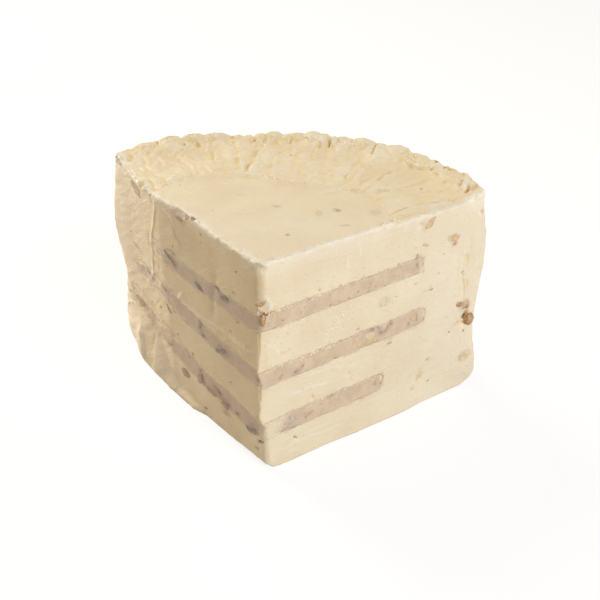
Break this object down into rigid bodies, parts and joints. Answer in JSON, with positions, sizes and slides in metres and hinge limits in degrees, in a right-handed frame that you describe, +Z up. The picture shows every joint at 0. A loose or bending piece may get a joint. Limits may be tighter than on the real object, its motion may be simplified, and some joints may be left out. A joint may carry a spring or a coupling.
{
  "type": "walnut cheese wedge",
  "caption": "Wedge cut from a tall round of soft cream-coloured walnut cheese, with bands of walnut cream showing on both cut faces and a crinkled top.",
  "frame": {"origin": "middle of the wedge's box, on the flat base", "axes": "+Z up from the base, +X across the wedge from its left end to its right end, -Y towards the wedge's point"},
  "size_m": [0.1434, 0.108, 0.0811],
  "materials": {
    "cheese": "moist satin, ivory, slightly translucent",
    "walnut_cream": "satin, pinkish beige, finely crumbly",
    "walnut": "dull tan to dark brown nut flesh and skin"
  },
  "bodies": {
    "root": {"cheese": "cheese", "walnut_layer_low": "walnut_cream", "walnut_layer_middle": "walnut_cream", "walnut_layer_top": "walnut_cream"}
  },
  "joints": []
}
